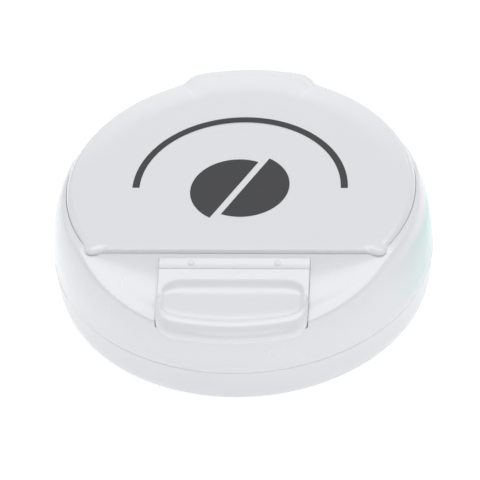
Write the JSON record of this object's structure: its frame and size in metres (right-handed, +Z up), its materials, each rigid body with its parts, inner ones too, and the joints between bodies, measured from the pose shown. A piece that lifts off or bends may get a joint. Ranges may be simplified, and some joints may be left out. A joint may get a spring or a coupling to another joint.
{
  "type": "pill splitter",
  "caption": "Round pocket pill splitter with a hinged D-shaped lid that carries a blade, a V-shaped pill seat, a storage base and a thumb flap.",
  "frame": {"origin": "centre of the flat underside of the base cup", "axes": "+X to the right, -Y to the front with the flap, +Y to the lid's hinge, +Z up"},
  "size_m": [0.07, 0.0722, 0.0225],
  "materials": {
    "white_plastic": "glossy moulded",
    "insert_plastic": "pale teal, satin",
    "grip_rubber": "soft, matt",
    "blade_steel": "ground"
  },
  "bodies": {
    "root": {"base_cup": "white_plastic", "body_shell": "white_plastic", "cutter_deck": "insert_plastic", "pill_seat": "insert_plastic", "grip_pad_left": "grip_rubber", "grip_pad_right": "grip_rubber", "cutting_mat": "grip_rubber", "hinge_pin": "blade_steel", "flap_hinge_strip": "white_plastic", "flap_stake_left": "white_plastic", "flap_stake_right": "white_plastic"},
    "lid": {"lid_shell": "white_plastic", "lid_liner": "white_plastic", "blade": "blade_steel", "blade_holder": "insert_plastic", "blade_clamp": "insert_plastic", "blade_rivet_front": "blade_steel", "blade_rivet_rear": "blade_steel"},
    "flap": {"flap": "white_plastic"}
  },
  "joints": [
    {"name": "lid_hinge", "type": "hinge", "parent": "root", "child": "lid", "pos_m": [0, 0.0312, 0.0176], "axis": [-1, 0, 0], "range_deg": [0, 105]},
    {"name": "flap_hinge", "type": "hinge", "parent": "root", "child": "flap", "pos_m": [0, -0.02035, 0.01933], "axis": [-1, 0, 0], "range_deg": [0, 95]}
  ]
}
